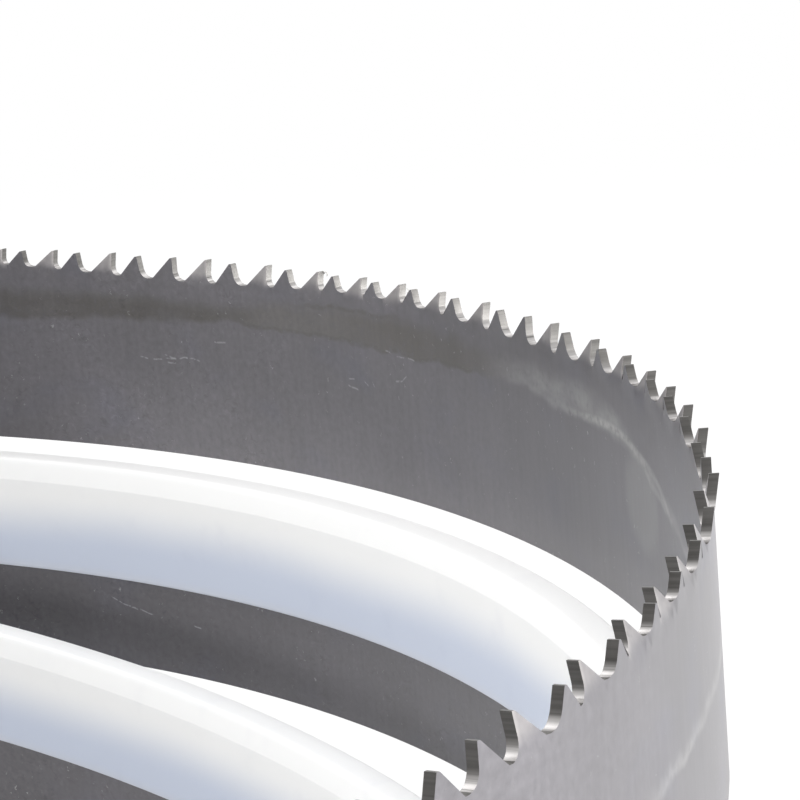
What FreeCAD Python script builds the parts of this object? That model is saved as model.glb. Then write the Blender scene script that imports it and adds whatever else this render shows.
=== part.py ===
import FreeCAD, Part
import math
import os
from bisect import bisect_right

# Coiled band saw blade with two plastic tooth guards.
# One endless toothed band lies in three stacked loops, teeth up. The top loop is
# bare, the middle and lower loops carry clip-on guards over their teeth.
# Lengths are in millimetres and angles in degrees. Angles are counted clockwise
# seen from above, starting at +Y, and run on past 360 from one loop to the next.
# Z is up, and the origin is under the centre of the top loop, on the surface that
# the coil stands on.

doc = FreeCAD.newDocument("band_saw_blade")

# Driving dimensions
DIMENSIONS = [
    ("blade_width", 27.0, "from the back edge to the tooth tips"),
    ("blade_thickness", 0.9, "of the band and of each tooth"),
    ("mean_pitch", 5.44, "tip to tip, averaged over one group of teeth"),
    ("pitch_swing", 1.0, "how far the pitch grows and shrinks about its mean"),
    ("mean_gullet", 2.55, "depth of a gullet, averaged over one group"),
    ("gullet_swing", 0.54, "how far the gullet depth grows and shrinks"),
    ("group_teeth", 15, "teeth in one set pattern, the first of them straight"),
    ("panel_teeth", 3, "teeth on one flat length of the band"),
    ("tooth_set", 0.6, "sideways lean of a set tooth at its tip"),
    ("gullet_run", 1.275, "from below the tip forward to the bottom of a mean gullet"),
    ("rake_foot", 0.9, "height of an upright rake face above the bottom of a mean gullet"),
    ("first_tooth", 74.2, "angle of the straight tooth that starts a group"),
    ("top_radius", 188.0, "middle of the band in the top loop"),
    ("bare_gap", 0.75, "between a guarded strand and a bare one beside it"),
    ("guarded_gap", 3.1, "between two guarded strands side by side"),
    ("stack_gap", 1.3, "between a guard and the back edge above it"),
    ("crossing_start", 275.0, "where the strands start to change sides"),
    ("crossing_span", 40.0, "length of that change"),
    ("outer_drop_span", 115.0, "top to middle level, outside, ends at the crossing"),
    ("inner_drop_delay", 32.0, "level run between the crossing and the inner drop"),
    ("inner_drop_span", 116.0, "middle to lower level, inside"),
    ("outer_rise_span", 100.0, "lower to middle level, outside, from the crossing"),
    ("inner_rise_span", 115.0, "middle to top level, inside, ends at the crossing"),
    ("guard_wall", 1.8, "plastic beside the teeth"),
    ("guard_crown", 1.0, "plastic above the teeth"),
    ("guard_length", 15.5, "of the guard's section, from crown to lips"),
    ("shoulder_drop", 2.8, "height of the bevelled shoulder under the crown"),
    ("shoulder_inset", 1.4, "width of the bevelled shoulder"),
    ("side_clearance", 0.35, "between the set teeth and the guard"),
    ("tip_clearance", 0.3, "between the tooth tips and the guard"),
    ("lip_clearance", 0.25, "between the band and the guard's lips"),
    ("lower_guard_start", 290.0, "angle of the lower guard's first end"),
    ("lower_guard_end", 660.0, "angle of its other end"),
    ("guard_joint", 20.0, "angle left free between the two guards"),
    ("middle_guard_end", 900.0, "angle where the middle guard stops"),
]

sheet = doc.addObject("Spreadsheet::Sheet", "Dimensions")
for row, (alias, value, note) in enumerate(DIMENSIONS, start=1):
    sheet.set(f"A{row}", alias)
    sheet.set(f"B{row}", str(value))
    sheet.set(f"C{row}", note)
    sheet.setAlias(f"B{row}", alias)
doc.recompute()


def size(alias):
    return float(sheet.get(alias))


# Sizes that follow from the driving ones
BLADE_WIDTH = size("blade_width")
HALF_BAND = size("blade_thickness") / 2
SET_REACH = size("tooth_set") + HALF_BAND
CAVITY_HALF = SET_REACH + size("side_clearance")
GUARD_HALF = CAVITY_HALF + size("guard_wall")
CROWN_TOP = size("tip_clearance") + size("guard_crown")
LEVEL_STEP = BLADE_WIDTH + CROWN_TOP + size("stack_gap")
TOP_LEVEL = 2 * LEVEL_STEP
TOP_RADIUS = size("top_radius")
MIDDLE_RADIUS = TOP_RADIUS - GUARD_HALF - SET_REACH - size("bare_gap")
LOWER_RADIUS = MIDDLE_RADIUS - 2 * GUARD_HALF - size("guarded_gap")
FULL_TURN = 360.0
LOOP_COUNT = 3
PATH_START = size("first_tooth")
PATH_END = PATH_START + LOOP_COUNT * FULL_TURN

# Where the band changes level or radius, as a start, a span and a change
CROSS_START = size("crossing_start")
CROSS_SPAN = size("crossing_span")
CROSS_END = CROSS_START + CROSS_SPAN
LEVEL_MOVES = [
    (CROSS_START - size("outer_drop_span"), size("outer_drop_span"), -LEVEL_STEP),
    (CROSS_END + size("inner_drop_delay"), size("inner_drop_span"), -LEVEL_STEP),
    (CROSS_END + FULL_TURN, size("outer_rise_span"), LEVEL_STEP),
    (CROSS_START + 2 * FULL_TURN - size("inner_rise_span"), size("inner_rise_span"), LEVEL_STEP),
]
RADIUS_MOVES = [
    (CROSS_START, CROSS_SPAN, LOWER_RADIUS - TOP_RADIUS),
    (CROSS_START + FULL_TURN, CROSS_SPAN, MIDDLE_RADIUS - LOWER_RADIUS),
    (CROSS_START + 2 * FULL_TURN, CROSS_SPAN, TOP_RADIUS - MIDDLE_RADIUS),
]


def eased(share):
    share = min(max(share, 0.0), 1.0)
    return share * share * (3 - 2 * share)


def moved(start_value, moves, angle):
    value = start_value
    for start, span, change in moves:
        value += change * eased((angle - start) / span)
    return value


def bandPoint(angle):
    # middle of the band's back edge
    radius = moved(TOP_RADIUS, RADIUS_MOVES, angle)
    turn = math.radians(angle)
    height = moved(TOP_LEVEL, LEVEL_MOVES, angle)
    return FreeCAD.Vector(radius * math.sin(turn), radius * math.cos(turn), height)


# Length of the band along its route, at even steps of angle
ANGLE_STEP = 0.5
STEP_COUNT = round((PATH_END - PATH_START) / ANGLE_STEP)
routeLength = [0.0]
lastPoint = bandPoint(PATH_START)
for step in range(1, STEP_COUNT + 1):
    nextPoint = bandPoint(PATH_START + step * ANGLE_STEP)
    routeLength.append(routeLength[-1] + nextPoint.distanceToPoint(lastPoint))
    lastPoint = nextPoint
BAND_LENGTH = routeLength[-1]


def angleAt(distance):
    step = min(max(bisect_right(routeLength, distance) - 1, 0), STEP_COUNT - 1)
    share = (distance - routeLength[step]) / (routeLength[step + 1] - routeLength[step])
    return PATH_START + (step + share) * ANGLE_STEP


# Teeth: a whole number of groups closes the band, so the pitch is trimmed to fit
GROUP_TEETH = round(size("group_teeth"))
GROUP_COUNT = round(BAND_LENGTH / (GROUP_TEETH * size("mean_pitch")))
TOOTH_COUNT = GROUP_COUNT * GROUP_TEETH
TRIMMED_PITCH = BAND_LENGTH / TOOTH_COUNT


def groupWave(tooth):
    # largest just after the straight tooth, smallest half a group later
    return math.cos(2 * math.pi * tooth / GROUP_TEETH)


def toothLean(tooth):
    # positive leans outward: straight, then outward and inward in turn
    place = tooth % GROUP_TEETH
    if place == 0:
        return 0.0
    return size("tooth_set") if place % 2 else -size("tooth_set")


tipDistance = [0.0]
for tooth in range(TOOTH_COUNT):
    pitch = TRIMMED_PITCH + size("pitch_swing") * groupWave(tooth)
    tipDistance.append(tipDistance[-1] + pitch)


def gulletDepth(tooth):
    return size("mean_gullet") + size("gullet_swing") * groupWave(tooth)


def gulletShare(tooth):
    # a deep gullet is longer by the same share
    return gulletDepth(tooth) / size("mean_gullet")


def gulletDistance(tooth):
    # gullet bottom in front of this tooth's rake face
    return tipDistance[tooth] + size("gullet_run") * gulletShare(tooth)


# Stations: the ends of the flat lengths of band, each at a gullet bottom
PANEL_TEETH = round(size("panel_teeth"))
stationTooth = list(range(0, TOOTH_COUNT, PANEL_TEETH)) + [TOOTH_COUNT]
LONGEST_PANEL = PANEL_TEETH * (TRIMMED_PITCH + size("pitch_swing"))
PANEL_BOW = LONGEST_PANEL ** 2 / (8 * LOWER_RADIUS)


def stationPlace(tooth):
    # set out by the bow of a flat length, so that its middle is on the true curve
    angle = angleAt(gulletDistance(tooth))
    turn = math.radians(angle)
    outward = FreeCAD.Vector(math.sin(turn), math.cos(turn), 0)
    return bandPoint(angle) + outward * PANEL_BOW


stationPoint = [stationPlace(tooth) for tooth in stationTooth[:-1]]
PANEL_COUNT = len(stationPoint)
UP = FreeCAD.Vector(0, 0, 1)
TOOTH_POINTS = 3
FLATNESS = 1e-7


def panelNormal(panel):
    chord = stationPoint[(panel + 1) % PANEL_COUNT] - stationPoint[panel % PANEL_COUNT]
    outward = FreeCAD.Vector(-chord.y, chord.x, 0)
    return outward.normalize()


def stationMitre(station):
    # unit offset that keeps both flat lengths that meet here at full thickness
    before = panelNormal(station - 1)
    after = panelNormal(station)
    return (before + after) * (1 / (1 + before.dot(after)))


def flatFace(points):
    return Part.Face(Part.makePolygon(points + points[:1]))


def quadFaces(a, b, c, d):
    # one flat face, or two triangles where the four corners are twisted
    normal = (b - a).cross(c - a)
    if abs(normal.normalize().dot(d - a)) < FLATNESS:
        return [flatFace([a, b, c, d])]
    return [flatFace([a, b, c]), flatFace([a, c, d])]


def panelFaces(panel):
    # the flat length of band between two stations, with its teeth
    start = stationPoint[panel]
    end = stationPoint[(panel + 1) % PANEL_COUNT]
    normal = panelNormal(panel)
    firstTooth = stationTooth[panel]
    lastTooth = stationTooth[panel + 1]
    startDistance = gulletDistance(firstTooth)
    span = gulletDistance(lastTooth % TOOTH_COUNT) - startDistance
    if span < 0:
        span += BAND_LENGTH

    def along(distance, side, height):
        share = (distance - startDistance) / span
        return start + (end - start) * share + normal * side + UP * height

    def outline(side):
        # gullet bottom, then tip, rake foot and gullet bottom of each tooth
        gullet = BLADE_WIDTH - gulletDepth(firstTooth)
        points = [start + stationMitre(panel) * side + UP * gullet]
        for tooth in range(firstTooth + 1, lastTooth + 1):
            tip = tipDistance[tooth]
            gullet = BLADE_WIDTH - gulletDepth(tooth)
            foot = gullet + size("rake_foot") * gulletShare(tooth)
            points.append(along(tip, side + toothLean(tooth), BLADE_WIDTH))
            points.append(along(tip, side, foot))
            points.append(along(gulletDistance(tooth), side, gullet))
        points[-1] = end + stationMitre(panel + 1) * side + UP * gullet
        return points

    inner = outline(-HALF_BAND)
    outer = outline(HALF_BAND)
    backInner = [start - stationMitre(panel) * HALF_BAND, end - stationMitre(panel + 1) * HALF_BAND]
    backOuter = [start + stationMitre(panel) * HALF_BAND, end + stationMitre(panel + 1) * HALF_BAND]
    tips = range(1, len(inner), TOOTH_POINTS)
    faces = quadFaces(backInner[0], backOuter[0], backOuter[1], backInner[1])
    for back, edge in ((backInner, inner), (backOuter, outer)):
        body = [point for index, point in enumerate(edge) if index not in tips]
        faces.append(flatFace(back + body[::-1]))
        for tip in tips:
            faces.append(flatFace(edge[tip - 1:tip + 2]))
    for index in range(len(inner) - 1):
        faces += quadFaces(inner[index], outer[index], outer[index + 1], inner[index + 1])
    return faces


def makeBlade():
    faces = []
    for panel in range(PANEL_COUNT):
        faces += panelFaces(panel)
    shell = Part.makeShell(faces)
    shell.sewShape()
    solid = Part.makeSolid(shell)
    if solid.Volume < 0:
        solid.reverse()
    return solid


def guardProfile():
    # section of the clip-on guard: sideways from the band, and up from the tips
    crownHalf = GUARD_HALF - size("shoulder_inset")
    shoulder = CROWN_TOP - size("shoulder_drop")
    lip = CROWN_TOP - size("guard_length")
    throat = -size("mean_gullet") - size("gullet_swing") - size("side_clearance")
    lipHalf = HALF_BAND + size("lip_clearance")
    right = [
        (lipHalf, lip),
        (GUARD_HALF, lip),
        (GUARD_HALF, shoulder),
        (crownHalf, CROWN_TOP),
    ]
    rightInside = [
        (CAVITY_HALF, size("tip_clearance")),
        (CAVITY_HALF, throat),
    ]
    left = [(-side, height) for side, height in reversed(right)]
    leftInside = [(-side, height) for side, height in reversed(rightInside)]
    return right + left + leftInside + rightInside


def makeGuard(startAngle, endAngle):
    profile = guardProfile()
    sections = []
    for station in range(PANEL_COUNT):
        angle = angleAt(gulletDistance(stationTooth[station]))
        if not startAngle <= angle <= endAngle:
            continue
        centre = stationPoint[station] + UP * BLADE_WIDTH
        mitre = stationMitre(station)
        points = [centre + mitre * side + UP * height for side, height in profile]
        sections.append(Part.makePolygon(points + points[:1]))
    return Part.makeLoft(sections, True, True)


def addPart(label, shape):
    part = doc.addObject("Part::Feature", label)
    part.Label = label
    part.Shape = shape
    part.Placement = FreeCAD.Placement()
    return part


MIDDLE_GUARD_START = size("lower_guard_end") + size("guard_joint")
parts = [
    addPart("blade", makeBlade()),
    addPart("lower_loop_guard", makeGuard(size("lower_guard_start"), size("lower_guard_end"))),
    addPart("middle_loop_guard", makeGuard(MIDDLE_GUARD_START, size("middle_guard_end"))),
]
doc.recompute()

for thing in doc.Objects:
    if "Invalid" in thing.State or "Error" in thing.State:
        raise RuntimeError(f"{thing.Name} failed to build: {thing.State}")
for part in parts:
    if part.Shape.isNull() or not part.Shape.isValid() or len(part.Shape.Solids) != 1:
        raise RuntimeError(f"{part.Label} is not one valid solid")

os.makedirs("parts", exist_ok=True)
for part in parts:
    part.Shape.exportStep(os.path.join("parts", part.Label + ".step"))
    print(part.Label, "volume", round(part.Shape.Volume), "faces", len(part.Shape.Faces))
print("band length", round(BAND_LENGTH, 1), "teeth", TOOTH_COUNT, "pitch", round(TRIMMED_PITCH, 3))
print("radii", TOP_RADIUS, round(MIDDLE_RADIUS, 2), round(LOWER_RADIUS, 2), "level step", LEVEL_STEP)
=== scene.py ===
import bpy
import math
from bisect import bisect_right
from mathutils import Matrix, Vector


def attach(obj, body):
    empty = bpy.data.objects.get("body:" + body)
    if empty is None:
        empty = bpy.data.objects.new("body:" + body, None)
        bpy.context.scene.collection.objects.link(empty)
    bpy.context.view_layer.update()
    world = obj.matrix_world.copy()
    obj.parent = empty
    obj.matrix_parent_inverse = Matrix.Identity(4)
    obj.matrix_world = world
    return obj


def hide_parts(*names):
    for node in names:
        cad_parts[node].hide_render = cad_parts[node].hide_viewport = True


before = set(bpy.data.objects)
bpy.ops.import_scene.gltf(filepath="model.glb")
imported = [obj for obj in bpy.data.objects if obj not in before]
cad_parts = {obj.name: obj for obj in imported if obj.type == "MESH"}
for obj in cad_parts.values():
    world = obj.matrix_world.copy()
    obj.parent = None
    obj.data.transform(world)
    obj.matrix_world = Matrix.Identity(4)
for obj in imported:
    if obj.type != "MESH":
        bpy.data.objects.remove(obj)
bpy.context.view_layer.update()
bpy.ops.object.select_all(action="DESELECT")
print("frame loaded")

# where the band runs, in mm and degrees clockwise from +Y: three loops, one after another
coil = {
    "topRadius": 188.0,
    "middleRadius": 183.0,
    "lowerRadius": 173.5,
    "levelStep": 29.6,
    "startAngle": 74.2,  # the straight tooth that the first group starts with
    "loops": 3,
    "stepAngle": 0.5,
    "aimAngle": 0.2,    # the band's direction is taken between points this far to both sides
    "keyDigits": 3,     # places that agree to so many decimals share one point of the route
}
millimetre = 0.001
# how close things are to count as being in one place, in mm
near = {
    "outline": 0.002,
    "cut": 0.002,
    "groups": 0.005,
    "rings": 0.01,
    "end": 0.01,
    "middle": 0.01,
    "wrapped": 0.004,
}
# how much of a face's normal has to point a way
facing = {"mostly": 0.5, "nearlyAll": 0.9, "aLittle": 0.1}
# where the band changes its level and its radius: first angle, degrees that it takes, change
levelMoves = [(160, 115, -1), (347, 116, -1), (675, 100, 1), (880, 115, 1)]
radiusMoves = [
    (275, 40, coil["lowerRadius"] - coil["topRadius"]),
    (635, 40, coil["middleRadius"] - coil["lowerRadius"]),
    (995, 40, coil["topRadius"] - coil["middleRadius"]),
]


def ease(share):
    share = min(max(share, 0.0), 1.0)
    return share * share * (3 - 2 * share)


def routePoint(angle):
    radius = coil["topRadius"]
    level = coil["loops"] - 1
    for start, span, change in radiusMoves:
        radius += change * ease((angle - start) / span)
    for start, span, change in levelMoves:
        level += change * ease((angle - start) / span)
    turn = math.radians(angle)
    return Vector((radius * math.sin(turn), radius * math.cos(turn), level * coil["levelStep"]))


def measureRoute():
    lengths = [0.0]
    last = routePoint(coil["startAngle"])
    for step in range(1, round(coil["loops"] * 360 / coil["stepAngle"]) + 1):
        here = routePoint(coil["startAngle"] + step * coil["stepAngle"])
        lengths.append(lengths[-1] + (here - last).length)
        last = here
    return lengths


routeLengths = measureRoute()
bandLength = routeLengths[-1]


def angleAt(distance):
    distance %= bandLength
    step = min(bisect_right(routeLengths, distance) - 1, len(routeLengths) - 2)
    span = routeLengths[step + 1] - routeLengths[step]
    return coil["startAngle"] + coil["stepAngle"] * (step + (distance - routeLengths[step]) / span)


def distanceAt(angle):
    steps = (angle - coil["startAngle"]) / coil["stepAngle"]
    whole = int(steps)
    return routeLengths[whole] + (steps - whole) * (routeLengths[whole + 1] - routeLengths[whole])


def wrapOnCoil(piece, lean=None):
    # a flat strip in mm, X along the band, Y outward, Z up, is laid round the coil
    stations = {}
    for vertex in piece.data.vertices:
        key = round(vertex.co.x, coil["keyDigits"])
        if key not in stations:
            angle = angleAt(key)
            along = routePoint(angle + coil["aimAngle"]) - routePoint(angle - coil["aimAngle"])
            outward = Vector((-along.y, along.x, 0)).normalized()
            stations[key] = (routePoint(angle), outward)
        middle, outward = stations[key]
        aside = vertex.co.y + (lean(vertex.co) if lean else 0)
        place = middle + outward * aside + Vector((0, 0, vertex.co.z))
        vertex.co = place * millimetre


def useOnly(piece):
    bpy.ops.object.select_all(action="DESELECT")
    piece.select_set(True)
    bpy.context.view_layer.objects.active = piece


def editMode(kind="VERT"):
    bpy.ops.object.mode_set(mode="EDIT")
    bpy.ops.mesh.select_mode(type=kind)


def objectMode():
    bpy.ops.object.mode_set(mode="OBJECT")


def pickVertices(piece, wanted):
    editMode("VERT")
    bpy.ops.mesh.select_all(action="DESELECT")
    objectMode()
    for vertex in piece.data.vertices:
        vertex.select = wanted(vertex.co)
    editMode("VERT")


def pickFaces(piece, wanted):
    editMode("FACE")
    bpy.ops.mesh.select_all(action="DESELECT")
    objectMode()
    for face in piece.data.polygons:
        face.select = wanted(face)
    editMode("FACE")


def drawOutline(name, places):
    # one vertex is pulled round the outline, point by point, and the ring is filled
    bpy.ops.object.select_all(action="DESELECT")
    bpy.ops.mesh.primitive_plane_add(size=1, location=(0, 0, 0))
    piece = bpy.context.active_object
    piece.name = name
    piece.data.name = name
    editMode("VERT")
    bpy.ops.mesh.select_all(action="SELECT")
    bpy.ops.mesh.merge(type="CENTER")
    bpy.ops.transform.translate(value=places[0])
    for here, there in zip(places, places[1:] + places[:1]):
        step = Vector(there) - Vector(here)
        bpy.ops.mesh.extrude_region_move(TRANSFORM_OT_translate={"value": step})
    bpy.ops.mesh.select_all(action="SELECT")
    bpy.ops.mesh.remove_doubles(threshold=near["outline"])
    bpy.ops.mesh.edge_face_add()
    objectMode()
    return piece


def applyModifier(piece, kind, **settings):
    useOnly(piece)
    modifier = piece.modifiers.new(kind.title(), kind)
    for key, value in settings.items():
        setattr(modifier, key, value)
    bpy.ops.object.modifier_apply(modifier=modifier.name)


def layFlatMap(piece):
    # the strip unfolds round its back edge: inner face up, outer face down
    # and its far half counts back from the first tooth, so the map's ends meet at the weld
    flat = piece.data.uv_layers.new(name="flat")
    for face in piece.data.polygons:
        outer = face.center.y > near["middle"]
        turnBack = bandLength if face.center.x > bandLength / 2 else 0
        for corner in face.loop_indices:
            place = piece.data.vertices[piece.data.loops[corner].vertex_index].co
            height = -place.z if outer else place.z
            flat.data[corner].uv = ((place.x - turnBack) * millimetre, height * millimetre)


# teeth, in mm: fifteen to a group, the first straight, then out and in by turns
tooth = {
    "bandWidth": 27.0,
    "thickness": 0.9,
    "count": 15,
    "groups": 42,
    "pitchSwing": 1.0,
    "meanGullet": 2.55,
    "gulletSwing": 0.54,
    "gulletRun": 0.5,   # gullet bottom ahead of the tip, as a share of its depth
    "lean": 0.6,
    "bendBelow": 0.4,   # the bend lies this far below the deepest gullet
    "bendRun": 0.9,     # a second cut lies this far below the bend
    "twistRun": 0.9,    # a set tooth straightens over this length beside a gullet bottom
    "tipLand": 0.36,
    "tipRound": 0.58,
    "landDrop": 0.035,
    "roundDrop": 0.18,
    # the slope from a gullet up to the next tip: shares of its depth, forward and down
    "backCurve": [(0.2, 0.975), (0.35, 0.865)],
    # rake face and gullet: share of the run forward, share of the depth down
    "rakeCurve": [(0, 0.6), (0.05, 0.71), (0.15, 0.81), (0.31, 0.9), (0.52, 0.96),
                  (0.76, 0.99), (1, 1)],
    "floorLightFrom": 0.65,  # the painted reflection on a gullet's floor sets in over these shares of its depth
    "floorLightTo": 0.87,
    "leanLightLeast": 0.5,    # painted light on an up-tilted side, away from its rake edge
    "smoothAngle": 40,
}
meanPitch = bandLength / (tooth["count"] * tooth["groups"])
groupLength = meanPitch * tooth["count"]


def groupWave(number):
    return math.cos(2 * math.pi * number / tooth["count"])


def pitchAfter(number):
    return meanPitch + tooth["pitchSwing"] * groupWave(number)


def gulletAfter(number):
    return tooth["meanGullet"] + tooth["gulletSwing"] * groupWave(number)


def tipAt(number):
    if number < 0:
        return tipAt(number + tooth["count"]) - groupLength
    return sum(pitchAfter(each) for each in range(number))


def gulletPlace(number):
    return tipAt(number) + tooth["gulletRun"] * gulletAfter(number)


gulletPlaces = [gulletPlace(number - 1) for number in range(tooth["count"] + 1)]
bendAt = tooth["bandWidth"] - tooth["meanGullet"] - tooth["gulletSwing"] - tooth["bendBelow"]


def toothPlaces(number):
    # back slope, tip, rake face and gullet of one tooth, along X and up Z
    top = tooth["bandWidth"]
    behind = gulletAfter(number - 1)
    depth = gulletAfter(number)
    tip = tipAt(number)
    run = tooth["gulletRun"] * depth
    places = []
    for forward, down in tooth["backCurve"]:
        places.append((gulletPlace(number - 1) + forward * behind, -down * behind))
    places.append((tip - tooth["tipRound"], -tooth["roundDrop"]))
    places.append((tip - tooth["tipLand"], -tooth["landDrop"]))
    places.append((tip, 0))
    for forward, down in tooth["rakeCurve"]:
        places.append((tip + forward * run, -down * depth))
    return [(along, 0, top + height) for along, height in places]


def cutAcross(place, normal):
    bpy.ops.mesh.select_all(action="SELECT")
    bpy.ops.mesh.bisect(plane_co=place, plane_no=normal, threshold=near["cut"])


def makeGroup():
    # the outline of one group of teeth, cut into faces that the set can bend
    first = gulletPlace(-1)
    last = first + groupLength
    places = [(first, 0, 0), (first, 0, tooth["bandWidth"] - gulletAfter(-1))]
    for number in range(tooth["count"]):
        places += toothPlaces(number)
    places[-1] = (last, 0, places[-1][2])
    places.append((last, 0, 0))
    group = drawOutline("blade", places)
    editMode("VERT")
    cuts = []
    for number in range(tooth["count"]):
        cuts += [gulletPlace(number - 1), tipAt(number) - tooth["tipRound"]]
    for along in cuts[1:]:
        cutAcross((along, 0, 0), (1, 0, 0))
    for height in (bendAt, bendAt - tooth["bendRun"]):
        cutAcross((0, 0, height), (0, 0, 1))
    objectMode()
    return group


def toothBeside(along):
    # the tooth that a place on the band belongs to, and the same place in the first group
    along = (along - gulletPlaces[0]) % groupLength + gulletPlaces[0]
    return min(bisect_right(gulletPlaces, along) - 1, tooth["count"] - 1), along


def toothLean(place):
    # a set tooth leans from the bend up, and not at all at the gullet bottoms
    number, along = toothBeside(place.x)
    reach = min(along - gulletPlaces[number], gulletPlaces[number + 1] - along)
    rise = (place.z - bendAt) / (tooth["bandWidth"] - bendAt)
    if number == 0 or rise <= 0:
        return 0
    outward = 1 if number % 2 else -1
    return outward * tooth["lean"] * rise * ease(reach / tooth["twistRun"])


def markSides(piece):
    # u is painted light on the side of a set tooth that its lean tilts up, most of all along its rake
    # edge, and v a painted reflection on the floor of a gullet, below the rake face
    marks = piece.data.uv_layers.new(name="leanAndFloorLight")
    least = tooth["leanLightLeast"]
    for face in piece.data.polygons:
        leansAway = toothLean(face.center) * face.center.y < 0
        pressed = abs(face.normal.y) > facing["mostly"] and leansAway
        ahead = min(face.normal.x, face.normal.z) > facing["aLittle"]
        number, middle = toothBeside(face.center.x)
        for corner in face.loop_indices:
            place = piece.data.vertices[piece.data.loops[corner].vertex_index].co
            behind = tipAt(number) - (place.x - face.center.x + middle)
            edge = min(max(1 - behind / tooth["tipRound"], 0.0), 1.0)
            down = (tooth["bandWidth"] - place.z) / gulletAfter(number)
            floor = ease((down - tooth["floorLightFrom"]) / (tooth["floorLightTo"] - tooth["floorLightFrom"]))
            leanLightShare = least + (1 - least) * edge
            marks.data[corner].uv = (leanLightShare if pressed else 0.0, floor if ahead else 0.0)


def makeBlade():
    blade = makeGroup()
    first = gulletPlace(-1)
    applyModifier(blade, "ARRAY", count=tooth["groups"], use_relative_offset=False,
                  use_constant_offset=True, constant_offset_displace=(groupLength, 0, 0),
                  use_merge_vertices=True, merge_threshold=near["groups"])
    applyModifier(blade, "SOLIDIFY", thickness=tooth["thickness"], offset=0,
                  use_even_offset=True, material_offset_rim=1)

    def atEnd(face):
        away = min(abs(face.center.x - first), abs(face.center.x - first - bandLength))
        return abs(face.normal.x) > facing["nearlyAll"] and away < near["end"]

    pickFaces(blade, atEnd)
    bpy.ops.mesh.delete(type="ONLY_FACE")
    objectMode()
    layFlatMap(blade)
    markSides(blade)
    wrapOnCoil(blade, toothLean)
    useOnly(blade)
    editMode("VERT")
    bpy.ops.mesh.select_all(action="SELECT")
    bpy.ops.mesh.remove_doubles(threshold=near["wrapped"] * millimetre)
    objectMode()
    bpy.ops.object.shade_smooth_by_angle(angle=math.radians(tooth["smoothAngle"]))
    return blade


blade = makeBlade()
print("blade made:", len(blade.data.polygons), "faces")

# a burr curled off one tip and two swarf threads, in mm: along and up of the middle,
# outward, radius, wire, first and last angle of the arc
burrs = [
    (tipAt(5) + 0.42, 26.62, 1.0, 0.3, 0.06, -50, 178),
    (tipAt(9) + 0.5, 25.6, 0.7, 0.9, 0.045, 25, 80),
    (tipAt(9) + 0.55, 25.1, 0.65, 0.95, 0.045, 20, 80),
]
burrFaces = {"alongRing": 36, "roundWire": 6, "mostInHole": 8}


def makeBurr(index, along, height, aside, radius, wire, first, last):
    bpy.ops.object.select_all(action="DESELECT")
    bpy.ops.mesh.primitive_torus_add(major_radius=radius, minor_radius=wire,
                                     major_segments=burrFaces["alongRing"],
                                     minor_segments=burrFaces["roundWire"])
    burr = bpy.context.active_object
    burr.name = "burr" + str(index)

    def outsideArc(face):
        turned = math.degrees(math.atan2(face.center.y, face.center.x))
        return not first < turned < last

    pickFaces(burr, outsideArc)
    bpy.ops.mesh.delete(type="FACE")
    bpy.ops.mesh.select_all(action="SELECT")
    bpy.ops.mesh.fill_holes(sides=burrFaces["mostInHole"])
    objectMode()
    for vertex in burr.data.vertices:
        vertex.co = (vertex.co.x + along, vertex.co.z + aside, vertex.co.y + height)
    useOnly(burr)
    editMode("FACE")
    bpy.ops.mesh.select_all(action="SELECT")
    bpy.ops.mesh.normals_make_consistent(inside=False)
    objectMode()
    wrapOnCoil(burr)
    bpy.ops.object.shade_smooth()
    return burr


burrPieces = [makeBurr(index, *burr) for index, burr in enumerate(burrs)]
print("burrs made:", [len(burr.data.polygons) for burr in burrPieces], "faces")

# guard section, in mm: sideways from the band and up from the tooth tips
guard = {
    "halfWidth": 3.2,
    "top": 1.3,
    "length": 15.5,
    "shoulderDrop": 2.8,
    "belly": -6.5,      # where the sides swell to the full width
    "shoulderInset": 1.4,
    "shoulderLean": 0.2,
    "footInset": 0.4,
    "cavityHalf": 1.4,
    "cavityTop": 0.3,
    "throat": -3.9,
    "lipHalf": 0.7,
    # radii of the corners; the largest is the belly's swell
    "round": {"lip": 0.25, "foot": 0.6, "belly": 45, "shoulder": 0.5, "crown": 0.6, "cavity": 0.3},
    "step": 4.0,
    "smoothAngle": 35,
    "lowerSpan": (290, 660),    # degrees along the route
    "middleSpan": (680, 900),
}


def roundCorner(before, corner, after, radius, steps=4):
    # a corner becomes an arc that touches both of its sides
    corner = Vector(corner)
    back = (Vector(before) - corner).normalized()
    on = (Vector(after) - corner).normalized()
    half = back.angle(on) / 2
    reach = radius / math.tan(half)
    middle = corner + (back + on).normalized() * radius / math.sin(half)
    first = corner + back * reach - middle
    last = corner + on * reach - middle
    sweep = first.angle_signed(last)
    return [middle + Matrix.Rotation(-sweep * step / steps, 2) @ first for step in range(steps + 1)]


def otherSide(corners):
    return [((-side, height), radius) for (side, height), radius in reversed(corners)]


def guardSection():
    # corners with their radii: up the right side, down the left one, and back inside
    lip = guard["top"] - guard["length"]
    shoulder = guard["top"] - guard["shoulderDrop"]
    crown = guard["halfWidth"] - guard["shoulderInset"]
    rounding = guard["round"]
    right = [
        ((guard["lipHalf"], lip), rounding["lip"]),
        ((guard["halfWidth"] - guard["footInset"], lip), rounding["foot"]),
        ((guard["halfWidth"], guard["belly"]), rounding["belly"]),
        ((guard["halfWidth"] - guard["shoulderLean"], shoulder), rounding["shoulder"]),
        ((crown, guard["top"]), rounding["crown"]),
    ]
    inside = [
        ((guard["cavityHalf"], guard["cavityTop"]), rounding["cavity"]),
        ((guard["cavityHalf"], guard["throat"]), rounding["cavity"]),
    ]
    corners = right + otherSide(right) + otherSide(inside) + inside
    places = []
    for index, (corner, radius) in enumerate(corners):
        before = corners[index - 1][0]
        after = corners[(index + 1) % len(corners)][0]
        places += roundCorner(before, corner, after, radius)
    return places


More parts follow.
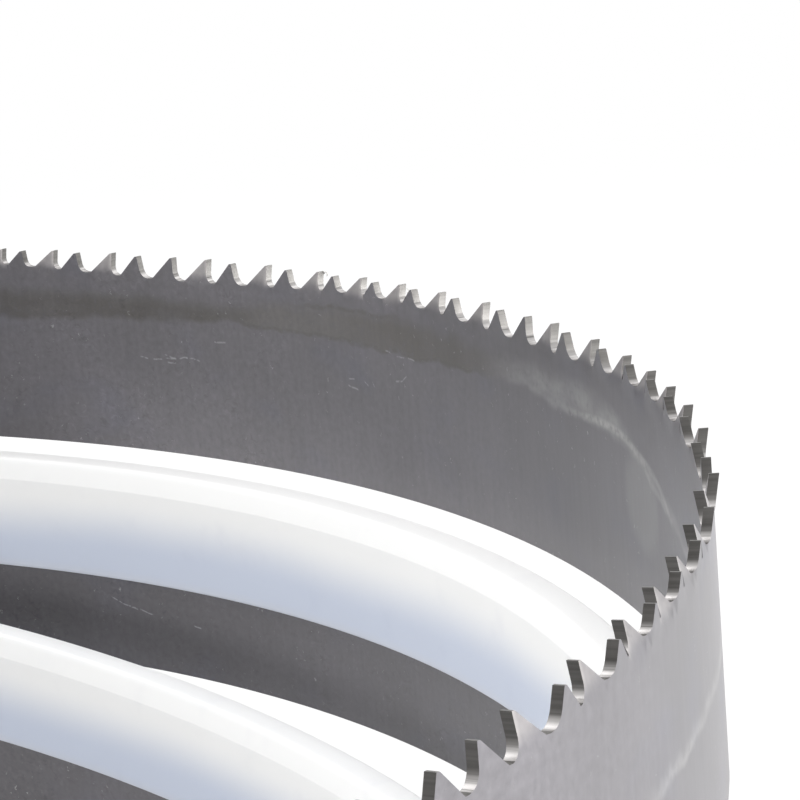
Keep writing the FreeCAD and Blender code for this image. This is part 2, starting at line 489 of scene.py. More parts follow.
def makeGuard(name, span):
    start = distanceAt(span[0])
    reach = distanceAt(span[1]) - start
    count = round(reach / guard["step"])
    step = reach / count
    top = tooth["bandWidth"]
    places = [(start, side, top + height) for side, height in guardSection()]
    strip = drawOutline(name, places)
    pickFaces(strip, lambda face: True)
    bpy.ops.mesh.extrude_region_move(TRANSFORM_OT_translate={"value": (step, 0, 0)})
    # only the sides of the length stay, and both of its ends are left open
    pickFaces(strip, lambda face: len(face.vertices) > 4)
    bpy.ops.mesh.delete(type="ONLY_FACE")
    objectMode()
    applyModifier(strip, "ARRAY", count=count, use_relative_offset=False,
                  use_constant_offset=True, constant_offset_displace=(step, 0, 0),
                  use_merge_vertices=True, merge_threshold=near["rings"])
    for end in (start, start + reach):
        pickVertices(strip, lambda place: abs(place.x - end) < near["end"])
        bpy.ops.mesh.edge_face_add()
    bpy.ops.mesh.select_all(action="SELECT")
    bpy.ops.mesh.normals_make_consistent(inside=False)
    objectMode()
    layFlatMap(strip)
    wrapOnCoil(strip)
    useOnly(strip)
    bpy.ops.object.shade_smooth_by_angle(angle=math.radians(guard["smoothAngle"]))
    return strip


lowerGuard = makeGuard("lowerLoopGuard", guard["lowerSpan"])
middleGuard = makeGuard("middleLoopGuard", guard["middleSpan"])
print("guards made:", len(lowerGuard.data.polygons), len(middleGuard.data.polygons), "faces")


def makeNode(tree, kind, links=None, **settings):
    node = tree.nodes.new("ShaderNode" + kind)
    for key, value in settings.items():
        setattr(node, key, value)
    for key, value in (links or {}).items():
        if isinstance(value, bpy.types.NodeSocket):
            tree.links.new(value, node.inputs[key])
        else:
            node.inputs[key].default_value = value
    return node


def calc(tree, operation, *values):
    links = dict(enumerate(values))
    return makeNode(tree, "Math", links, operation=operation).outputs[0]


def times(tree, first, *others):
    for value in others:
        first = calc(tree, "MULTIPLY", first, value)
    return first


def fade(tree, value, start, end):
    links = {"Value": value, "From Min": start, "From Max": end}
    node = makeNode(tree, "MapRange", links, interpolation_type="SMOOTHSTEP")
    return node.outputs["Result"]


def noise(tree, place, scale, detail=2, stretch=(1, 1, 1)):
    placed = makeNode(tree, "Mapping", {"Vector": place, "Scale": stretch})
    links = {"Vector": placed.outputs[0], "Scale": scale, "Detail": detail}
    return makeNode(tree, "TexNoise", links).outputs["Fac"]


def patches(tree, place, scale, detail, stretch, start, end):
    return fade(tree, noise(tree, place, scale, detail, stretch), start, end)


def blend(tree, share, first, second, mode="MIX"):
    links = {0: share, 6: first, 7: second}
    node = makeNode(tree, "Mix", links, data_type="RGBA", blend_type=mode)
    return node.outputs[2]


def tintBy(tree, share, colour, tint):
    return blend(tree, share, colour, tint, "MULTIPLY")


def apart(tree, first, second):
    return calc(tree, "ABSOLUTE", calc(tree, "SUBTRACT", first, second))


def heightLine(tree, along, places, tallest=tooth["bandWidth"]):
    # a height in mm that follows listed points along the band
    start, end = places[0][0], places[-1][0]
    share = makeNode(tree, "MapRange", {"Value": along, "From Min": start, "From Max": end})
    curve = makeNode(tree, "FloatCurve", {"Value": share.outputs["Result"]})
    line = curve.mapping.curves[0]
    for index, (place, height) in enumerate(places):
        spot = ((place - start) / (end - start), height / tallest)
        if index == 0:
            line.points[0].location = spot
        elif index == len(places) - 1:
            line.points[-1].location = spot
        else:
            line.points.new(*spot)
    curve.mapping.update()
    return calc(tree, "MULTIPLY", curve.outputs[0], tallest)


def between(tree, value, low, high, soft):
    inside = fade(tree, value, calc(tree, "SUBTRACT", low, soft), calc(tree, "ADD", low, soft))
    outside = fade(tree, value, calc(tree, "ADD", high, soft), calc(tree, "SUBTRACT", high, soft))
    return times(tree, inside, outside)


def scratch(tree, along, height, start, end, width, soft, solid=0.3):
    # one straight stroke between two places on the band
    links = {"Value": along, "From Min": start[0], "From Max": end[0]}
    links.update({"To Min": start[1], "To Max": end[1]})
    line = makeNode(tree, "MapRange", links, clamp=False).outputs["Result"]
    stroke = fade(tree, apart(tree, height, line), width, solid * width)
    return times(tree, stroke, between(tree, along, start[0], end[0], soft))


def dots(tree, place, scale, radius, chosen, solid=0.4):
    # round specks in a share of the cells
    cells = makeNode(tree, "TexVoronoi", {"Vector": place, "Scale": scale}, voronoi_dimensions="2D")
    picked = makeNode(tree, "SeparateColor", {0: cells.outputs["Color"]})
    reach = radius * scale
    speck = fade(tree, cells.outputs["Distance"], reach, solid * reach)
    return times(tree, speck, calc(tree, "LESS_THAN", picked.outputs[0], chosen))


def vectorCalc(tree, operation, links):
    return makeNode(tree, "VectorMath", links, operation=operation)


def ruffle(tree, place, scale, reach):
    # the place is shaken a little, so that what is drawn there turns ragged
    links = {"Vector": place, "Scale": scale, "Detail": 1}
    cloud = makeNode(tree, "TexNoise", links).outputs["Color"]
    shift = vectorCalc(tree, "SUBTRACT", {0: cloud, 1: (0.5, 0.5, 0.5)}).outputs[0]
    shift = vectorCalc(tree, "SCALE", {0: shift, "Scale": reach}).outputs[0]
    return vectorCalc(tree, "ADD", {0: place, 1: shift}).outputs[0]


def flatPlace(tree):
    # the flat map in mm; its up is above zero on the inner side and below on the outer one
    lay = makeNode(tree, "UVMap", uv_map="flat").outputs[0]
    place = vectorCalc(tree, "SCALE", {0: lay, "Scale": 1 / millimetre}).outputs[0]
    parts = makeNode(tree, "SeparateXYZ", {0: place}).outputs
    height = calc(tree, "ABSOLUTE", parts[1])
    return {"place": place, "along": parts[0], "height": height, "up": parts[1]}


def leanAndFloorLightMarks(tree):
    # painted light on the up-tilted sides of the set teeth, and painted reflection on the floors of
    # the gullets
    lay = makeNode(tree, "UVMap", uv_map="leanAndFloorLight").outputs[0]
    return makeNode(tree, "SeparateXYZ", {0: lay}).outputs


def newMaterial(name, settings):
    material = bpy.data.materials.new(name)
    material.use_nodes = True
    tree = material.node_tree
    shader = tree.nodes["Principled BSDF"]
    shader.inputs["Metallic"].default_value = settings["metallic"]
    shader.inputs["Coat Weight"].default_value = settings.get("oil", 0)
    shader.inputs["Coat Roughness"].default_value = settings.get("oilRoughness", 0.03)
    return material, tree, shader


def dressShader(tree, shader, settings, colour, roughBy, bumpBy):
    tree.links.new(colour, shader.inputs["Base Color"])
    swing = settings["roughnessSwing"]
    rough = calc(tree, "MULTIPLY_ADD", roughBy, swing, settings["roughness"] - swing / 2)
    tree.links.new(rough, shader.inputs["Roughness"])
    distance = settings["bumpDepth"] * millimetre
    links = {"Height": bumpBy, "Strength": settings["bump"], "Distance": distance}
    tree.links.new(makeNode(tree, "Bump", links).outputs[0], shader.inputs["Normal"])


rolled = {
    "metallic": 0.9,
    "dark": (0.184, 0.177, 0.187, 1),
    "light": (0.225, 0.216, 0.232, 1),
    # painted shade, left of the straight tooth, on the lower loops and, weaker, on one stretch of the
    # top loop
    "shadeTint": (0.68, 0.68, 0.68, 1),
    "cool": (0.97, 0.985, 1.04, 1),
    # painted light: brightens two stretches of the band
    "paintedLight": (1.3, 1.3, 1.3, 1),
    "fleckDark": (0.86, 0.85, 0.85, 1),
    "fleckLight": (1.13, 1.12, 1.13, 1),
    "smoke": (0.72, 0.705, 0.63, 1),
    "olive": (0.97, 0.96, 0.88, 1),
    "umber": (0.82, 0.8, 0.71, 1),
    "bare": (1.0, 1.0, 1.0, 1),
    "pale": (1.74, 1.78, 1.68, 1),
    # painted light on the up-tilted sides of the set teeth
    "pressed": (0.56, 0.53, 0.52, 1),
    "speckDark": (0.54, 0.52, 0.52, 1),
    "speckLight": (0.5, 0.5, 0.5, 1),
    "scratch": (0.42, 0.42, 0.43, 1),
    "roughness": 0.42,
    "roughnessSwing": 0.16,
    "bump": 0.25,
    "bumpDepth": 0.02,
    "oil": 0.5,
    "oilRoughness": 0.46,
    # noise: scale per mm, detail, stretch along and up, and the values that patches fade between
    "clouds": (0.025, 3, (1, 1, 1), 0.3, 0.7),
    "coolPatches": (0.06, 2, (1, 1.6, 1), 0.5, 0.75),
    "grain": (1.1, 3),
    "grainShare": 0.4,
    "streaks": (0.9, 2, (1, 0.12, 1)),
    "streakShare": 0.2,
    "leastShade": 0.7,
    "clusters": (0.11, 3, (1, 1, 1), 0.42, 0.62),
    "flecks": (1.25, 3, (0.42, 1.4, 1)),
    "wobble": (0.22, 3),
    "wobbleReach": 2.2,
    "clumps": (0.3, 3, (0.5, 1, 1)),
    "palePatches": (0.3, 4, (0.6, 1.3, 1), 0.3, 0.65),
    "fineGrain": (2.2, 3),
    "strokeWave": (0.4, 1),
    "strokeWaveReach": 0.6,
    "strokeGaps": (1.6, 1, (1, 1, 1), 0.3, 0.55),
    "fleckRuffle": (0.8, 2.5),      # scale per mm, and reach in mm
    "speckRuffle": (2.6, 1.3),
    # stretches of the band in mm from the straight tooth: where each fades in or out,
    # or else its first and last place and how softly it ends
    # painted shade lies outside the first stretch and, weaker, on the second; painted light lies on
    # the two after them
    "unshadedIn": (-49, 5),
    "unshadedOut": (405, 315),
    "shadedStretch": (49.0, 162.0, 13.0),
    "shadedStretchShare": 0.36,
    "paintedLightNear": (-14.0, 30.0, 20.0),
    "paintedLightUpTo": (15, 3),          # heights where the near stretch ends and is full
    "paintedLightShare": 0.6,
    "paintedLightFar": (172.0, 300.0, 12.0),
    "wornOut": (40, 5),
    "wornIn": (200, 300),
    "wornInClusters": (0.6, 0.4),   # strength added by the clusters, and elsewhere
    "fleckDarkFade": (0.55, 0.68),
    "fleckLightFade": (0.44, 0.32),
    "topRim": (26.0, 48.0, 5.0),
    "topRimWidth": (0.5, 0.05),
    "footRim": (12.0, 68.0, 4.0),
    "footRimWidth": (0.45, 0.05),
    "rimGrain": (0.3, 0.6),
    "rimShare": 0.6,
    # the stain's tints from the left, each taking over from the one before
    "stainTints": [("olive", 10, 20), ("umber", 30, 44), ("bare", 60, 84)],
    "paleIn": (66, 86),
    # distances inside its edges at which the heat stain and the painted reflection streak set in and
    # are full
    "bandTopFade": (-0.9, 1.4),
    "bandFootFade": (-0.5, 0.6),
    "bandGrain": (0.05, 0.5),
    "clumpStrength": (0.9, 0.5),    # strength added by the noise, and the least
    "paleStrength": (0.55, 0.45),
    # edges of the band below the teeth, a heat stain on the left and a painted reflection streak on
    # the right: distance from the straight tooth, height
    "bandTop": [(-70, 21.6), (-29, 21.5), (-8, 21.4), (3, 21.2), (12, 21.6), (20, 22.2),
                 (28, 22.5), (39, 22.8), (55, 22.6), (76, 21.7), (95, 21.7), (104, 21.3),
                 (110, 20.2), (117, 18.2), (126, 16.2), (140, 13.0)],
    "bandFoot": [(-70, 17.4), (-29, 17.4), (-15, 18.0), (-5, 18.3), (3, 18.5), (11, 19.2),
                  (19, 18.9), (34, 18.8), (48, 18.4), (68, 18.6), (80, 18.8), (88, 17.8),
                  (96, 18.0), (112, 17.6), (126, 14.6), (140, 12.0)],
    # a bright line under the pale streak, which then runs down round a pale blot
    "drip": [(70, 18.4), (88, 17.8), (96, 18.0), (103, 18.6), (112, 18.5), (117, 17.8),
             (126.5, 16.0), (132, 13.2), (140, 9.0)],
    "dripRun": (94.0, 130.0, 6.0),
    "dripWidth": (0.7, 0.1),
    "dripGrain": (0.2, 0.6),
    "dripShare": 0.7,
    "blot": (118.0, 12.8, 7.0, 5.5),    # middle along and up, half length, half height
    "blotFade": (1.3, 0.4),             # squared distance, where 1 is on the blot's outline
    "blotBelow": 0.6,                   # the blot sets in so far below the drip line
    "blotShare": 0.45,
    "leanLightFrom": (24.2, 25.7),        # heights between which the painted light on a tilted side sets in
    "pressedGrain": (0.7, 0.6),
    # round specks: cells per mm, radius in mm, share of the cells that have one
    "darkSpecks": [(0.2, 0.3, 0.3), (0.6, 0.16, 0.3)],
    "lightSpecks": [(0.2, 0.24, 0.3), (0.6, 0.14, 0.4)],
    "darkInClusters": (0.65, 0.35),
    "lightInClusters": (0.45, 0.12),
    "strokeWidth": 0.15,
    "strokeSoft": 0.15,
    "strokeShare": 0.62,
    # fine strokes on the inner side of the top loop, and the last four on the second loop
    "scratches": [
        ((-8.0, 13.1), (-6.5, 12.9)),
        ((-5.4, 12.8), (-3.7, 12.9)),
        ((-3.0, 13.7), (-0.8, 13.1)),
        ((-2.9, 13.2), (-1.0, 13.2)),
        ((-2.6, 12.6), (-1.0, 12.6)),
        ((-0.1, 13.2), (1.5, 13.6)),
        ((1.0, 13.4), (2.8, 13.6)),
        ((2.8, 13.5), (3.9, 13.2)),
        ((7.3, 16.1), (9.6, 16.1)),
        ((35.9, 14.0), (37.1, 14.0)),
        ((35.6, 13.1), (37.8, 12.7)),
        ((39.3, 13.9), (40.2, 13.4)),
        ((41.2, 14.0), (41.8, 13.3)),
        ((46.8, 14.8), (48.4, 15.1)),
        ((48.5, 15.2), (49.4, 15.8)),
        ((44.8, 18.5), (46.3, 18.3)),
        ((47.4, 18.1), (49.2, 18.1)),
        ((50.1, 18.1), (51.6, 18.0)),
        ((-1176.1, 9.4), (-1174.1, 8.6)),
        ((-1174.1, 8.6), (-1171.1, 8.1)),
        ((-1170.6, 8.2), (-1168.1, 7.9)),
        ((-1159.8, 7.3), (-1158.4, 7.2)),
    ],
    "weldHalf": 4.5,
    "weldSoft": 0.6,
    "weldShare": 0.8,
}


def plainSteel(tree, flat):
    # two greys in clouds with a cool patch here and there, and the grain of the rolling
    place = flat["place"]
    clouds = patches(tree, place, *rolled["clouds"])
    colour = blend(tree, clouds, rolled["dark"], rolled["light"])
    colour = tintBy(tree, patches(tree, place, *rolled["coolPatches"]), colour, rolled["cool"])
    streaks = noise(tree, place, *rolled["streaks"])
    mottle = calc(tree, "MULTIPLY", flat["grain"], rolled["grainShare"])
    mottle = calc(tree, "ADD", mottle, calc(tree, "MULTIPLY", streaks, rolled["streakShare"]))
    shade = calc(tree, "ADD", mottle, rolled["leastShade"])
    links = {0: shade, 1: shade, 2: shade}
    return tintBy(tree, 1.0, colour, makeNode(tree, "CombineColor", links).outputs[0])


def addShadeLightAndWear(tree, flat, colour):
    # painted shade and painted light on stretches of the band, and flecks where the steel is worn
    along = flat["along"]
    # painted shade: darker outside the top loop's middle and, weaker, on one stretch of it
    unshaded = times(tree, fade(tree, along, *rolled["unshadedIn"]), fade(tree, along, *rolled["unshadedOut"]))
    paintedShade = times(tree, between(tree, along, *rolled["shadedStretch"]), rolled["shadedStretchShare"])
    paintedShade = calc(tree, "MAXIMUM", paintedShade, calc(tree, "SUBTRACT", 1.0, unshaded))
    colour = tintBy(tree, paintedShade, colour, rolled["shadeTint"])
    # painted light: brighter low down on a near stretch, and all over a further stretch
    lowDown = fade(tree, flat["height"], *rolled["paintedLightUpTo"])
    paintedLight = times(tree, between(tree, along, *rolled["paintedLightNear"]), lowDown, rolled["paintedLightShare"])
    paintedLight = calc(tree, "MAXIMUM", paintedLight, between(tree, along, *rolled["paintedLightFar"]))
    colour = tintBy(tree, paintedLight, colour, rolled["paintedLight"])
    worn = fade(tree, along, *rolled["wornOut"])
    worn = calc(tree, "MAXIMUM", worn, fade(tree, along, *rolled["wornIn"]))
    inClusters = calc(tree, "MULTIPLY_ADD", flat["clusters"], *rolled["wornInClusters"])
    worn = times(tree, worn, inClusters)
    shaken = ruffle(tree, flat["place"], *rolled["fleckRuffle"])
    flecks = noise(tree, shaken, *rolled["flecks"])
    dark = times(tree, fade(tree, flecks, *rolled["fleckDarkFade"]), worn)
    colour = tintBy(tree, dark, colour, rolled["fleckDark"])
    light = times(tree, fade(tree, flecks, *rolled["fleckLightFade"]), worn)
    return tintBy(tree, light, colour, rolled["fleckLight"])


def addStainAndSheen(tree, flat, colour):
    # the heat stain below the teeth, which turns into a pale streak to the right, a painted
    # reflection
    along, grain, bumpy = flat["along"], flat["grain"], flat["bumpy"]
    top = heightLine(tree, along, rolled["bandTop"])
    foot = heightLine(tree, along, rolled["bandFoot"])
    underTop = fade(tree, calc(tree, "SUBTRACT", top, bumpy), *rolled["bandTopFade"])
    overFoot = fade(tree, calc(tree, "SUBTRACT", bumpy, foot), *rolled["bandFootFade"])
    clumps = noise(tree, flat["place"], *rolled["clumps"])
    clumps = calc(tree, "MULTIPLY_ADD", clumps, *rolled["clumpStrength"])
    stainAndSheen = times(tree, underTop, overFoot, clumps, fade(tree, grain, *rolled["bandGrain"]))
    tint = rolled["smoke"]
    for name, start, end in rolled["stainTints"]:
        tint = blend(tree, fade(tree, along, start, end), tint, rolled[name])
    # painted reflection: the pale streak on the right of the band
    patchy = patches(tree, flat["place"], *rolled["palePatches"])
    patchy = calc(tree, "MULTIPLY_ADD", patchy, *rolled["paleStrength"])
    pale = times(tree, fade(tree, along, *rolled["paleIn"]), patchy)
    colour = tintBy(tree, stainAndSheen, colour, blend(tree, pale, tint, rolled["pale"]))
    for edge, name in ((top, "topRim"), (foot, "footRim")):
        rim = fade(tree, apart(tree, bumpy, edge), *rolled[name + "Width"])
        rim = times(tree, rim, between(tree, along, *rolled[name]))
        rim = times(tree, rim, fade(tree, grain, *rolled["rimGrain"]))
        colour = tintBy(tree, times(tree, rim, rolled["rimShare"]), colour, rolled["smoke"])
    return colour


def addDrip(tree, flat, colour):
    # the bright line under the pale streak, and the pale blot below it
    along, height, inner = flat["along"], flat["height"], flat["inner"]
    drip = heightLine(tree, along, rolled["drip"])
    line = fade(tree, apart(tree, height, drip), *rolled["dripWidth"])
    line = times(tree, line, between(tree, along, *rolled["dripRun"]), inner)
    line = times(tree, line, fade(tree, flat["grain"], *rolled["dripGrain"]), rolled["dripShare"])
    colour = tintBy(tree, line, colour, rolled["pale"])
    blotAlong, blotUp, blotLong, blotHigh = rolled["blot"]
    offAlong = calc(tree, "DIVIDE", calc(tree, "SUBTRACT", along, blotAlong), blotLong)
    offUp = calc(tree, "DIVIDE", calc(tree, "SUBTRACT", flat["bumpy"], blotUp), blotHigh)
    reach = calc(tree, "ADD", calc(tree, "POWER", offAlong, 2.0), calc(tree, "POWER", offUp, 2.0))
    underDrip = fade(tree, drip, height, calc(tree, "ADD", height, rolled["blotBelow"]))
    blot = fade(tree, reach, *rolled["blotFade"])
    blot = times(tree, blot, inner, underDrip, rolled["blotShare"])
    return tintBy(tree, blot, colour, rolled["pale"])


def specks(tree, flat, place, sizes, strength):
    # how strongly large and small specks show, most of all in clusters
    large, small = [dots(tree, place, *size) for size in sizes]
    both = calc(tree, "MAXIMUM", large, small)
    return times(tree, both, calc(tree, "MULTIPLY_ADD", flat["clusters"], *strength))


def addMarks(tree, flat, colour):
    # painted light on the teeth's up-tilted sides, then specks and strokes
    leanLightMask = fade(tree, flat["bumpy"], *rolled["leanLightFrom"])
    leanLightMask = times(tree, leanAndFloorLightMarks(tree)[0], leanLightMask)
    grainy = calc(tree, "MULTIPLY_ADD", flat["grain"], *rolled["pressedGrain"])
    leanLightMask = times(tree, leanLightMask, grainy)
    colour = blend(tree, leanLightMask, colour, rolled["pressed"])
    ragged = ruffle(tree, flat["place"], *rolled["speckRuffle"])
    dark = specks(tree, flat, ragged, rolled["darkSpecks"], rolled["darkInClusters"])
    colour = tintBy(tree, dark, colour, rolled["speckDark"])
    light = specks(tree, flat, ragged, rolled["lightSpecks"], rolled["lightInClusters"])
    colour = blend(tree, light, colour, rolled["speckLight"])
    reach = rolled["strokeWaveReach"]
    wave = noise(tree, flat["place"], *rolled["strokeWave"])
    wave = calc(tree, "MULTIPLY_ADD", wave, reach, -reach / 2)
    wavy = calc(tree, "ADD", flat["height"], wave)
    broken = patches(tree, flat["place"], *rolled["strokeGaps"])
    broken = times(tree, broken, rolled["strokeShare"], flat["inner"])
    width, soft = rolled["strokeWidth"], rolled["strokeSoft"]
    for start, end in rolled["scratches"]:
        stroke = scratch(tree, flat["along"], wavy, start, end, width, soft)
        colour = blend(tree, times(tree, stroke, broken), colour, rolled["scratch"])
    return colour


def makeRolledSteel():
    material, tree, shader = newMaterial("rolledSteel", rolled)
    flat = flatPlace(tree)
    place = flat["place"]
    flat["inner"] = calc(tree, "GREATER_THAN", flat["up"], 0)
    flat["grain"] = noise(tree, place, *rolled["grain"])
    flat["clusters"] = patches(tree, place, *rolled["clusters"])
    reach = rolled["wobbleReach"]
    wobble = calc(tree, "MULTIPLY_ADD", noise(tree, place, *rolled["wobble"]), reach, -reach / 2)
    flat["bumpy"] = calc(tree, "ADD", flat["height"], wobble)
    colour = plainSteel(tree, flat)
    for addLayer in (addShadeLightAndWear, addStainAndSheen, addDrip, addMarks):
        colour = addLayer(tree, flat, colour)
    # the weld is half the band's length away from the straight tooth
    fromWeld = calc(tree, "SUBTRACT", bandLength / 2, calc(tree, "ABSOLUTE", flat["along"]))
    weld = fade(tree, fromWeld, rolled["weldHalf"] + rolled["weldSoft"], rolled["weldHalf"])
    colour = blend(tree, times(tree, weld, rolled["weldShare"]), colour, ground["weld"])
    fineGrain = noise(tree, place, *rolled["fineGrain"])
    dressShader(tree, shader, rolled, colour, flat["grain"], fineGrain)
    return material


ground = {
    "metallic": 0.9,
    "dark": (0.115, 0.111, 0.106, 1),
    "light": (0.185, 0.179, 0.172, 1),
    # painted reflection on the floors of the gullets
    "floor": (0.46, 0.445, 0.44, 1),
    "weld": (0.36, 0.35, 0.34, 1),
    "roughness": 0.42,
    "roughnessSwing": 0.2,
    "bump": 0.3,
    "bumpDepth": 0.02,
    "marks": (3.5, 3),      # scale per mm and detail of the noise
    "markShare": 0.7,
    "patches": (0.5, 2),
    "patchShare": 0.5,
    "toneFade": (0.35, 0.85),
    "floorGrain": (0.25, 0.5),
}


def makeGroundSteel():
    # milled rake faces and gullets, with marks that run across the thickness
    material, tree, shader = newMaterial("groundSteel", ground)
    place = flatPlace(tree)["place"]
    marks = noise(tree, place, *ground["marks"])
    share = calc(tree, "MULTIPLY", marks, ground["markShare"])
    patch = calc(tree, "MULTIPLY", noise(tree, place, *ground["patches"]), ground["patchShare"])
    share = fade(tree, calc(tree, "ADD", share, patch), *ground["toneFade"])
    colour = blend(tree, share, ground["dark"], ground["light"])
    # painted reflection: the gullet floors are painted bright
    floor = times(tree, leanAndFloorLightMarks(tree)[1], fade(tree, marks, *ground["floorGrain"]))
    colour = blend(tree, floor, colour, ground["floor"])
    dressShader(tree, shader, ground, colour, marks, marks)
    return material


burrSteel = {"metallic": 0.9, "colour": (0.62, 0.6, 0.57, 1), "roughness": 0.35}


def makeBurrSteel():
    material, _, shader = newMaterial("burrSteel", burrSteel)
    shader.inputs["Base Color"].default_value = burrSteel["colour"]
    shader.inputs["Roughness"].default_value = burrSteel["roughness"]
    return material


plastic = {
    "metallic": 0,
    "lit": (0.93, 0.93, 0.92, 1),
    # painted light: the crown is painted whiter than the sides
    "crown": (0.985, 0.985, 0.98, 1),
    # painted shade on the lower side and at the foot, where the dark blade also shows through
    "shaded": (0.6, 0.652, 0.765, 1),
    "foot": (0.62, 0.65, 0.725, 1),
    "smudge": (0.93, 0.93, 0.95, 1),
    "spot": (0.25, 0.25, 0.28, 1),
    "roughness": 0.42,
    "roughnessSwing": 0.12,
    "bump": 0.15,
    "bumpDepth": 0.03,
    "gloss": 0.15,
    "glow": 0.12,
    "glowDepth": 1.5,
    # heights in mm between which one colour gives way to the next
    "shadeUpTo": (16.5, 24.5),
    "crownFrom": (27.4, 28.2),
    "footUpTo": (14.6, 12.6),
    "spotsUpTo": (27.4, 26.4),
    # noise: scale per mm, detail, stretch along and up, and the values that patches fade between
    "waver": (0.02, 2),
    "waverReach": 3.0,
    "drawn": (1.4, 2, (0.01, 1, 1)),
    "smudges": (0.12, 3, (1, 1, 1), 0.55, 0.8),
    "smudgeShare": 0.6,
    "spotRuffle": (1.5, 1.0),       # scale per mm, and reach in mm
    "spots": (0.03, 0.35, 0.35),    # cells per mm, radius in mm, share of the cells
    "spotShare": 0.5,
}


def makeWhitePlastic():
    # milky, so the dark blade behind it shows through lower down; the cool shade there and at the
    # foot is also painted shade, and the crown is painted light
    material, tree, shader = newMaterial("whitePlastic", plastic)
    flat = flatPlace(tree)
    place, height = flat["place"], flat["height"]
    reach = plastic["waverReach"]
    waver = noise(tree, place, *plastic["waver"])
    level = calc(tree, "ADD", height, calc(tree, "MULTIPLY_ADD", waver, reach, -reach / 2))
    # painted shade lower down and at the foot, painted light on the crown
    shade = fade(tree, level, *plastic["shadeUpTo"])
    colour = blend(tree, shade, plastic["shaded"], plastic["lit"])
    colour = blend(tree, fade(tree, height, *plastic["crownFrom"]), colour, plastic["crown"])
    colour = blend(tree, fade(tree, height, *plastic["footUpTo"]), colour, plastic["foot"])
    smudge = times(tree, patches(tree, place, *plastic["smudges"]), plastic["smudgeShare"])
    colour = tintBy(tree, smudge, colour, plastic["smudge"])
    spot = dots(tree, ruffle(tree, place, *plastic["spotRuffle"]), *plastic["spots"])
    spot = times(tree, spot, fade(tree, height, *plastic["spotsUpTo"]), plastic["spotShare"])
    colour = blend(tree, spot, colour, plastic["spot"])
    shader.inputs["Specular IOR Level"].default_value = plastic["gloss"]
    shader.inputs["Subsurface Weight"].default_value = plastic["glow"]
    shader.inputs["Subsurface Radius"].default_value = (1, 1, 1)
    shader.inputs["Subsurface Scale"].default_value = plastic["glowDepth"] * millimetre
    drawn = noise(tree, place, *plastic["drawn"])
    dressShader(tree, shader, plastic, colour, drawn, drawn)
    return material


def isGround(face):
    # the rim between the two faces, but not the back edge
    outward = Vector((face.center.x, face.center.y, 0)).normalized()
    rim = abs(face.normal.dot(outward)) < facing["mostly"]
    return rim and face.normal.z > -facing["nearlyAll"]


def dressBlade():
    blade.data.materials.append(makeRolledSteel())
    blade.data.materials.append(makeGroundSteel())
    useOnly(blade)
    pickFaces(blade, isGround)
    blade.active_material_index = 1
    bpy.ops.object.material_slot_assign()
    objectMode()


dressBlade()
whitePlastic = makeWhitePlastic()
for strip in (lowerGuard, middleGuard):
    strip.data.materials.append(whitePlastic)
brightSteel = makeBurrSteel()
for burr in burrPieces:
    burr.data.materials.append(brightSteel)
    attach(burr, "root")

for piece, node, slot in (
    (blade, "blade", "blade_steel"),
    (lowerGuard, "lower_loop_guard", "guard_plastic"),
    (middleGuard, "middle_loop_guard", "guard_plastic"),
):
    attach(piece, "root")
    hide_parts(node)
print("materials on")

# camera as the photograph has it: place in mm, turns in degrees
view = {
    "back": 327.1,
    "aboveTips": 60.0,
    "turn": 29.491,
    "down": 11.057,
    "roll": 4.383,
    "lens": 141.72,
    "sensor": 36,
    "nearest": 10.0,    # nothing nearer than this is seen
}


def addCamera():
    tips = (coil["loops"] - 1) * coil["levelStep"] + tooth["bandWidth"]
    place = Vector((0, -view["back"], tips + view["aboveTips"])) * millimetre
    turn = math.radians(view["turn"])
    down = math.radians(view["down"])
    roll = math.radians(view["roll"])
    forward = Vector((
        math.sin(turn) * math.cos(down),
        math.cos(turn) * math.cos(down),
        -math.sin(down),
    ))
    side = Vector((math.cos(turn), -math.sin(turn), 0))
    up = side.cross(forward)
    right = side * math.cos(roll) - up * math.sin(roll)
    top = side * math.sin(roll) + up * math.cos(roll)
    bpy.ops.object.camera_add(location=place)
    camera = bpy.context.active_object
    turned = Matrix((right, top, -forward)).transposed()
    camera.matrix_world = Matrix.Translation(place) @ turned.to_4x4()
    camera.data.sensor_width = view["sensor"]
    camera.data.lens = view["lens"]
    camera.data.clip_start = view["nearest"] * millimetre
    bpy.context.scene.camera = camera


addCamera()

studio = {
    "world": 0.84,
    "floorSize": 12,
    "floorWhite": 0.8,
    "floorRoughness": 0.9,
    "floorGlow": 0.65,
    "mirroredGlow": 0.35,
    "glowFade": (0.3, 1.0),         # distances in metres over which it turns fully bright
    "dimMiddle": (-0.2, 0.1, 0),    # the mirrored floor is dimmest here, just left of the coil
    "lamps": [
        # name, place, aim, width, height, power, whether it lights dull surfaces too
        ("overhead", (-0.35, 1.0, 1.0), (0, 0, 0), 1.2, 1.2, 9.5, True),
        ("above", (0.12, 0.2, 1.4), (0, 0, 0), 0.8, 0.8, 4.8, True),
        ("upperRight", (0.95, 0.1, 0.95), (0, 0, 0), 0.8, 0.8, 3.2, True),
        ("lowRight", (0.74, -0.92, 0.2), (0.12, 0, 0.06), 0.9, 0.38, 12.5, False),
    ],
}


def addLamp(name, place, target, width, height, power, onDull):
    bpy.ops.object.light_add(type="AREA", location=place)
    lamp = bpy.context.active_object
    lamp.name = name
    lamp.data.shape = "RECTANGLE"
    lamp.data.size = width
    lamp.data.size_y = height
    lamp.data.energy = power
    lamp.visible_diffuse = onDull
    aim = Vector(target) - Vector(place)
    lamp.rotation_euler = aim.to_track_quat("-Z", "Y").to_euler()


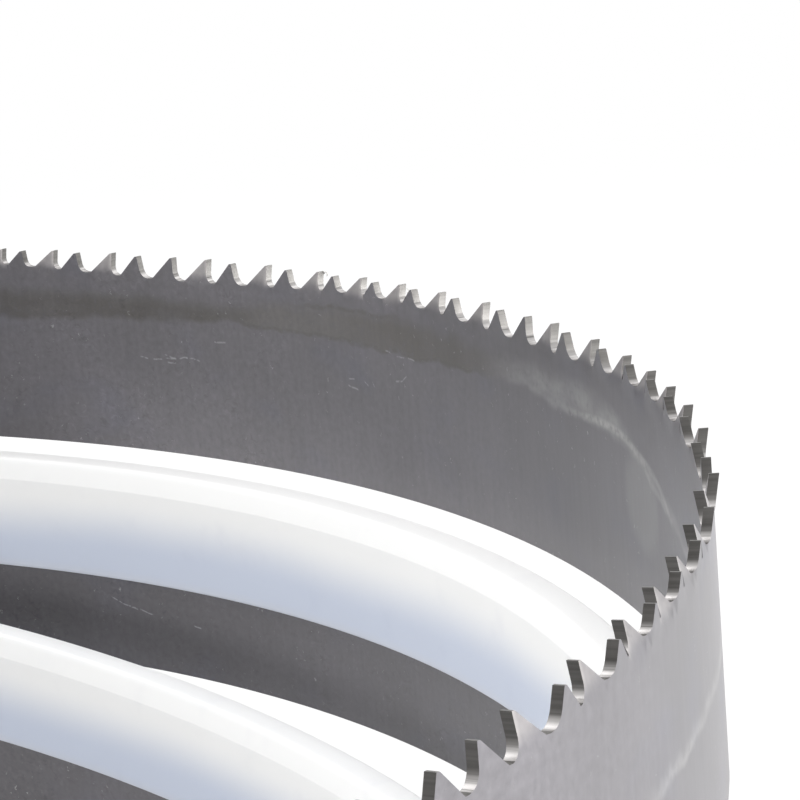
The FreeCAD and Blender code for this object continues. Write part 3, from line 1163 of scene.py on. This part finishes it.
def seenWhite(tree, mirrored=1.0):
    # camera, glossy and transmission rays see the plain white, the rest is light
    paths = makeNode(tree, "LightPath")
    seen = calc(tree, "MAXIMUM", paths.outputs["Is Glossy Ray"], paths.outputs["Is Transmission Ray"])
    return calc(tree, "MAXIMUM", times(tree, seen, mirrored), paths.outputs["Is Camera Ray"])


def brightening(tree, distance, least):
    # from the least share of the glow near the coil to all of it further off
    share = fade(tree, distance, *studio["glowFade"])
    return calc(tree, "MULTIPLY_ADD", share, 1 - least, least)


def addFloor():
    bpy.ops.mesh.primitive_plane_add(size=studio["floorSize"], location=(0, 0, 0))
    floor = bpy.context.active_object
    floor.name = "floor"
    material, tree, shader = newMaterial("whiteFloor", {"metallic": 0})
    shader.inputs["Base Color"].default_value = (studio["floorWhite"],) * 3 + (1,)
    shader.inputs["Roughness"].default_value = studio["floorRoughness"]
    shader.inputs["Specular IOR Level"].default_value = 0
    glow = makeNode(tree, "Emission")
    place = makeNode(tree, "TexCoord").outputs["Object"]
    away = vectorCalc(tree, "LENGTH", {0: place}).outputs["Value"]
    aside = vectorCalc(tree, "DISTANCE", {0: place, 1: studio["dimMiddle"]}).outputs["Value"]
    mirrored = brightening(tree, aside, studio["mirroredGlow"])
    glowShare = brightening(tree, away, studio["floorGlow"])
    share = times(tree, seenWhite(tree, mirrored), glowShare)
    links = {0: share, 1: shader.outputs["BSDF"], 2: glow.outputs["Emission"]}
    mix = makeNode(tree, "MixShader", links)
    tree.links.new(mix.outputs[0], tree.nodes["Material Output"].inputs["Surface"])
    floor.data.materials.append(material)


def addWorld():
    world = bpy.data.worlds.new("studio")
    bpy.context.scene.world = world
    world.use_nodes = True
    tree = world.node_tree
    soft = tree.nodes["Background"]
    soft.inputs["Color"].default_value = (1, 1, 1, 1)
    soft.inputs["Strength"].default_value = studio["world"]
    white = makeNode(tree, "Background", {"Color": (1, 1, 1, 1), "Strength": 1.0})
    links = {0: seenWhite(tree), 1: soft.outputs[0], 2: white.outputs[0]}
    mix = makeNode(tree, "MixShader", links)
    tree.links.new(mix.outputs[0], tree.nodes["World Output"].inputs["Surface"])


def makeStudio():
    addFloor()
    addWorld()
    for lamp in studio["lamps"]:
        addLamp(*lamp)


makeStudio()
bpy.context.scene.view_settings.view_transform = "Standard"
print("studio lit")
